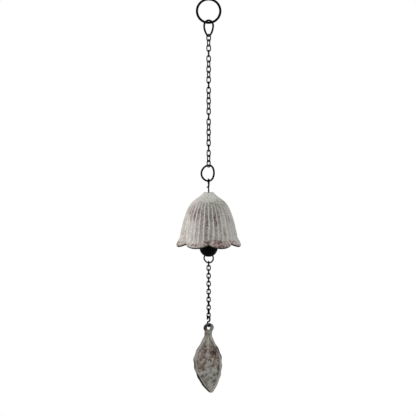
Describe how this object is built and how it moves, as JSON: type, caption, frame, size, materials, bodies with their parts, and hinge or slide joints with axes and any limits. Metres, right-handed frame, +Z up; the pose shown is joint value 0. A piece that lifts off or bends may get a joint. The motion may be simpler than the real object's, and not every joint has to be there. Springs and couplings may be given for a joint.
{
  "type": "iron wind chime",
  "caption": "Hanging wind chime: a fluted cast bell on a chain, a ball clapper on a wire inside it, and a cast leaf on a second chain that catches the wind.",
  "frame": {"origin": "hanging point, the top of the hole in the top ring, which rests on the hook that holds the chime", "axes": "+Z up along the plumb line that every piece hangs on, -Y towards the viewer of the picture, +X to the right in it"},
  "size_m": [0.0806, 0.0795, 0.4947],
  "materials": {
    "black_wire": "black lacquered iron wire, satin, with a little wear",
    "chain_wire": "dull dark grey chain wire",
    "black_iron": "black cast iron, satin",
    "white_paint": "cast iron with chalky white paint rubbed off to brown rust in the grooves",
    "leaf_paint": "cast iron with thin grey white paint over rust, worn along the veins"
  },
  "bodies": {
    "top_ring": {"top_ring": "black_wire"},
    "upper_ring": {"upper_ring": "black_wire"},
    "upper_chain_link_01": {"upper_chain_link_01": "chain_wire"},
    "upper_chain_link_02": {"upper_chain_link_02": "chain_wire"},
    "upper_chain_link_03": {"upper_chain_link_03": "chain_wire"},
    "upper_chain_link_04": {"upper_chain_link_04": "chain_wire"},
    "upper_chain_link_05": {"upper_chain_link_05": "chain_wire"},
    "upper_chain_link_06": {"upper_chain_link_06": "chain_wire"},
    "upper_chain_link_07": {"upper_chain_link_07": "chain_wire"},
    "upper_chain_link_08": {"upper_chain_link_08": "chain_wire"},
    "upper_chain_link_09": {"upper_chain_link_09": "chain_wire"},
    "upper_chain_link_10": {"upper_chain_link_10": "chain_wire"},
    "upper_chain_link_11": {"upper_chain_link_11": "chain_wire"},
    "upper_chain_link_12": {"upper_chain_link_12": "chain_wire"},
    "upper_chain_link_13": {"upper_chain_link_13": "chain_wire"},
    "upper_chain_link_14": {"upper_chain_link_14": "chain_wire"},
    "upper_chain_link_15": {"upper_chain_link_15": "chain_wire"},
    "upper_chain_link_16": {"upper_chain_link_16": "chain_wire"},
    "upper_chain_link_17": {"upper_chain_link_17": "chain_wire"},
    "upper_chain_link_18": {"upper_chain_link_18": "chain_wire"},
    "upper_chain_link_19": {"upper_chain_link_19": "chain_wire"},
    "upper_chain_link_20": {"upper_chain_link_20": "chain_wire"},
    "upper_chain_link_21": {"upper_chain_link_21": "chain_wire"},
    "upper_chain_link_22": {"upper_chain_link_22": "chain_wire"},
    "upper_chain_link_23": {"upper_chain_link_23": "chain_wire"},
    "upper_chain_link_24": {"upper_chain_link_24": "chain_wire"},
    "upper_chain_link_25": {"upper_chain_link_25": "chain_wire"},
    "bell_ring": {"bell_ring": "black_wire"},
    "hanger_wire": {"hanger_wire": "black_wire"},
    "bell": {"bell": "white_paint"},
    "clapper_wire": {"clapper_wire": "black_wire"},
    "clapper": {"clapper_top_loop": "black_wire", "clapper_ball": "black_iron", "clapper_bottom_loop": "black_wire"},
    "lower_chain_link_01": {"lower_chain_link_01": "chain_wire"},
    "lower_chain_link_02": {"lower_chain_link_02": "chain_wire"},
    "lower_chain_link_03": {"lower_chain_link_03": "chain_wire"},
    "lower_chain_link_04": {"lower_chain_link_04": "chain_wire"},
    "lower_chain_link_05": {"lower_chain_link_05": "chain_wire"},
    "lower_chain_link_06": {"lower_chain_link_06": "chain_wire"},
    "lower_chain_link_07": {"lower_chain_link_07": "chain_wire"},
    "lower_chain_link_08": {"lower_chain_link_08": "chain_wire"},
    "lower_chain_link_09": {"lower_chain_link_09": "chain_wire"},
    "lower_chain_link_10": {"lower_chain_link_10": "chain_wire"},
    "lower_chain_link_11": {"lower_chain_link_11": "chain_wire"},
    "lower_chain_link_12": {"lower_chain_link_12": "chain_wire"},
    "lower_chain_link_13": {"lower_chain_link_13": "chain_wire"},
    "lower_chain_link_14": {"lower_chain_link_14": "chain_wire"},
    "s_hook": {"s_hook": "black_wire"},
    "leaf": {"leaf": "leaf_paint"}
  },
  "joints": [
    {"name": "upper_ring_swing", "type": "hinge", "parent": "top_ring", "child": "upper_ring", "pos_m": [0, 0, -0.0275], "axis": [1, 0, 0], "range_deg": [-60, 60]},
    {"name": "upper_link_01_swing", "type": "hinge", "parent": "upper_ring", "child": "upper_chain_link_01", "pos_m": [0, 0, -0.0442], "axis": [-0.2756, -0.9613, 0], "range_deg": [-60, 60]},
    {"name": "upper_link_02_swing", "type": "hinge", "parent": "upper_chain_link_01", "child": "upper_chain_link_02", "pos_m": [0, 0, -0.05074], "axis": [-0.788, 0.6157, 0], "range_deg": [-60, 60]},
    {"name": "upper_link_03_swing", "type": "hinge", "parent": "upper_chain_link_02", "child": "upper_chain_link_03", "pos_m": [0, 0, -0.05728], "axis": [0.3007, 0.9537, 0], "range_deg": [-60, 60]},
    {"name": "upper_link_04_swing", "type": "hinge", "parent": "upper_chain_link_03", "child": "upper_chain_link_04", "pos_m": [0, 0, -0.06382], "axis": [0.9903, -0.1392, 0], "range_deg": [-60, 60]},
    {"name": "upper_link_05_swing", "type": "hinge", "parent": "upper_chain_link_04", "child": "upper_chain_link_05", "pos_m": [0, 0, -0.07036], "axis": [-0.3256, -0.9455, 0], "range_deg": [-60, 60]},
    {"name": "upper_link_06_swing", "type": "hinge", "parent": "upper_chain_link_05", "child": "upper_chain_link_06", "pos_m": [0, 0, -0.0769], "axis": [-0.788, 0.6157, 0], "range_deg": [-60, 60]},
    {"name": "upper_link_07_swing", "type": "hinge", "parent": "upper_chain_link_06", "child": "upper_chain_link_07", "pos_m": [0, 0, -0.08344], "axis": [0.3502, 0.9367, 0], "range_deg": [-60, 60]},
    {"name": "upper_link_08_swing", "type": "hinge", "parent": "upper_chain_link_07", "child": "upper_chain_link_08", "pos_m": [0, 0, -0.08998], "axis": [0.788, -0.6157, 0], "range_deg": [-60, 60]},
    {"name": "upper_link_09_swing", "type": "hinge", "parent": "upper_chain_link_08", "child": "upper_chain_link_09", "pos_m": [0, 0, -0.09652], "axis": [-0.3746, -0.9272, 0], "range_deg": [-60, 60]},
    {"name": "upper_link_10_swing", "type": "hinge", "parent": "upper_chain_link_09", "child": "upper_chain_link_10", "pos_m": [0, 0, -0.10306], "axis": [-0.9903, 0.1392, 0], "range_deg": [-60, 60]},
    {"name": "upper_link_11_swing", "type": "hinge", "parent": "upper_chain_link_10", "child": "upper_chain_link_11", "pos_m": [0, 0, -0.1096], "axis": [0.3987, 0.9171, 0], "range_deg": [-60, 60]},
    {"name": "upper_link_12_swing", "type": "hinge", "parent": "upper_chain_link_11", "child": "upper_chain_link_12", "pos_m": [0, 0, -0.11614], "axis": [0.788, -0.6157, 0], "range_deg": [-60, 60]},
    {"name": "upper_link_13_swing", "type": "hinge", "parent": "upper_chain_link_12", "child": "upper_chain_link_13", "pos_m": [0, 0, -0.12268], "axis": [-0.4226, -0.9063, 0], "range_deg": [-60, 60]},
    {"name": "upper_link_14_swing", "type": "hinge", "parent": "upper_chain_link_13", "child": "upper_chain_link_14", "pos_m": [0, 0, -0.12922], "axis": [-0.788, 0.6157, 0], "range_deg": [-60, 60]},
    {"name": "upper_link_15_swing", "type": "hinge", "parent": "upper_chain_link_14", "child": "upper_chain_link_15", "pos_m": [0, 0, -0.13576], "axis": [0.4462, 0.8949, 0], "range_deg": [-60, 60]},
    {"name": "upper_link_16_swing", "type": "hinge", "parent": "upper_chain_link_15", "child": "upper_chain_link_16", "pos_m": [0, 0, -0.1423], "axis": [0.9903, -0.1392, 0], "range_deg": [-60, 60]},
    {"name": "upper_link_17_swing", "type": "hinge", "parent": "upper_chain_link_16", "child": "upper_chain_link_17", "pos_m": [0, 0, -0.14884], "axis": [-0.4695, -0.8829, 0], "range_deg": [-60, 60]},
    {"name": "upper_link_18_swing", "type": "hinge", "parent": "upper_chain_link_17", "child": "upper_chain_link_18", "pos_m": [0, 0, -0.15538], "axis": [-0.788, 0.6157, 0], "range_deg": [-60, 60]},
    {"name": "upper_link_19_swing", "type": "hinge", "parent": "upper_chain_link_18", "child": "upper_chain_link_19", "pos_m": [0, 0, -0.16192], "axis": [0.4924, 0.8704, 0], "range_deg": [-60, 60]},
    {"name": "upper_link_20_swing", "type": "hinge", "parent": "upper_chain_link_19", "child": "upper_chain_link_20", "pos_m": [0, 0, -0.16846], "axis": [0.788, -0.6157, 0], "range_deg": [-60, 60]},
    {"name": "upper_link_21_swing", "type": "hinge", "parent": "upper_chain_link_20", "child": "upper_chain_link_21", "pos_m": [0, 0, -0.175], "axis": [-0.515, -0.8572, 0], "range_deg": [-60, 60]},
    {"name": "upper_link_22_swing", "type": "hinge", "parent": "upper_chain_link_21", "child": "upper_chain_link_22", "pos_m": [0, 0, -0.18154], "axis": [-0.9903, 0.1392, 0], "range_deg": [-60, 60]},
    {"name": "upper_link_23_swing", "type": "hinge", "parent": "upper_chain_link_22", "child": "upper_chain_link_23", "pos_m": [0, 0, -0.18808], "axis": [0.5373, 0.8434, 0], "range_deg": [-60, 60]},
    {"name": "upper_link_24_swing", "type": "hinge", "parent": "upper_chain_link_23", "child": "upper_chain_link_24", "pos_m": [0, 0, -0.19462], "axis": [0.788, -0.6157, 0], "range_deg": [-60, 60]},
    {"name": "upper_link_25_swing", "type": "hinge", "parent": "upper_chain_link_24", "child": "upper_chain_link_25", "pos_m": [0, 0, -0.20116], "axis": [-0.5592, -0.829, 0], "range_deg": [-60, 60]},
    {"name": "bell_ring_swing", "type": "hinge", "parent": "upper_chain_link_25", "child": "bell_ring", "pos_m": [0, 0, -0.20715], "axis": [-0.6018, 0.7986, 0], "range_deg": [-60, 60]},
    {"name": "hanger_swing", "type": "hinge", "parent": "bell_ring", "child": "hanger_wire", "pos_m": [0, 0, -0.2245], "axis": [-0.7986, -0.6018, 0], "range_deg": [-60, 60]},
    {"name": "bell_rock", "type": "hinge", "parent": "hanger_wire", "child": "bell", "pos_m": [0, 0, -0.2437], "axis": [-0.1736, 0.9848, 0], "range_deg": [-12, 12]},
    {"name": "clapper_wire_swing", "type": "hinge", "parent": "hanger_wire", "child": "clapper_wire", "pos_m": [0, 0, -0.2497], "axis": [-0.1736, 0.9848, 0], "range_deg": [-15, 15]},
    {"name": "clapper_swing", "type": "hinge", "parent": "clapper_wire", "child": "clapper", "pos_m": [0, 0, -0.29425], "axis": [0.9848, 0.1736, 0], "range_deg": [-20, 20]},
    {"name": "lower_link_01_swing", "type": "hinge", "parent": "clapper", "child": "lower_chain_link_01", "pos_m": [0, 0, -0.3275], "axis": [0.9945, 0.1045, 0], "range_deg": [-60, 60]},
    {"name": "lower_link_02_swing", "type": "hinge", "parent": "lower_chain_link_01", "child": "lower_chain_link_02", "pos_m": [0, 0, -0.33249], "axis": [-0.1047, 0.9945, 0], "range_deg": [-60, 60]},
    {"name": "lower_link_03_swing", "type": "hinge", "parent": "lower_chain_link_02", "child": "lower_chain_link_03", "pos_m": [0, 0, -0.33749], "axis": [-0.9944, -0.1055, 0], "range_deg": [-60, 60]},
    {"name": "lower_link_04_swing", "type": "hinge", "parent": "lower_chain_link_03", "child": "lower_chain_link_04", "pos_m": [0, 0, -0.34248], "axis": [0.1079, -0.9942, 0], "range_deg": [-60, 60]},
    {"name": "lower_link_05_swing", "type": "hinge", "parent": "lower_chain_link_04", "child": "lower_chain_link_05", "pos_m": [0, 0, -0.34747], "axis": [0.9936, 0.1126, 0], "range_deg": [-60, 60]},
    {"name": "lower_link_06_swing", "type": "hinge", "parent": "lower_chain_link_05", "child": "lower_chain_link_06", "pos_m": [0, 0, -0.35246], "axis": [-0.1203, 0.9927, 0], "range_deg": [-60, 60]},
    {"name": "lower_link_07_swing", "type": "hinge", "parent": "lower_chain_link_06", "child": "lower_chain_link_07", "pos_m": [0, 0, -0.35746], "axis": [-0.9913, -0.1318, 0], "range_deg": [-60, 60]},
    {"name": "lower_link_08_swing", "type": "hinge", "parent": "lower_chain_link_07", "child": "lower_chain_link_08", "pos_m": [0, 0, -0.36245], "axis": [0.1478, -0.989, 0], "range_deg": [-60, 60]},
    {"name": "lower_link_09_swing", "type": "hinge", "parent": "lower_chain_link_08", "child": "lower_chain_link_09", "pos_m": [0, 0, -0.36744], "axis": [0.9856, 0.169, 0], "range_deg": [-60, 60]},
    {"name": "lower_link_10_swing", "type": "hinge", "parent": "lower_chain_link_09", "child": "lower_chain_link_10", "pos_m": [0, 0, -0.37244], "axis": [-0.1961, 0.9806, 0], "range_deg": [-60, 60]},
    {"name": "lower_link_11_swing", "type": "hinge", "parent": "lower_chain_link_10", "child": "lower_chain_link_11", "pos_m": [0, 0, -0.37743], "axis": [-0.9732, -0.2298, 0], "range_deg": [-60, 60]},
    {"name": "lower_link_12_swing", "type": "hinge", "parent": "lower_chain_link_11", "child": "lower_chain_link_12", "pos_m": [0, 0, -0.38242], "axis": [0.2705, -0.9627, 0], "range_deg": [-60, 60]},
    {"name": "lower_link_13_swing", "type": "hinge", "parent": "lower_chain_link_12", "child": "lower_chain_link_13", "pos_m": [0, 0, -0.38741], "axis": [0.9479, 0.3187, 0], "range_deg": [-60, 60]},
    {"name": "lower_link_14_swing", "type": "hinge", "parent": "lower_chain_link_13", "child": "lower_chain_link_14", "pos_m": [0, 0, -0.39241], "axis": [-0.3746, 0.9272, 0], "range_deg": [-60, 60]},
    {"name": "hook_swing", "type": "hinge", "parent": "lower_chain_link_14", "child": "s_hook", "pos_m": [0, 0, -0.39705], "axis": [-0.8829, -0.4695, 0], "range_deg": [-60, 60]},
    {"name": "leaf_swing", "type": "hinge", "parent": "s_hook", "child": "leaf", "pos_m": [0, 0, -0.40775], "axis": [-0.4695, 0.8829, 0], "range_deg": [-40, 40]}
  ]
}
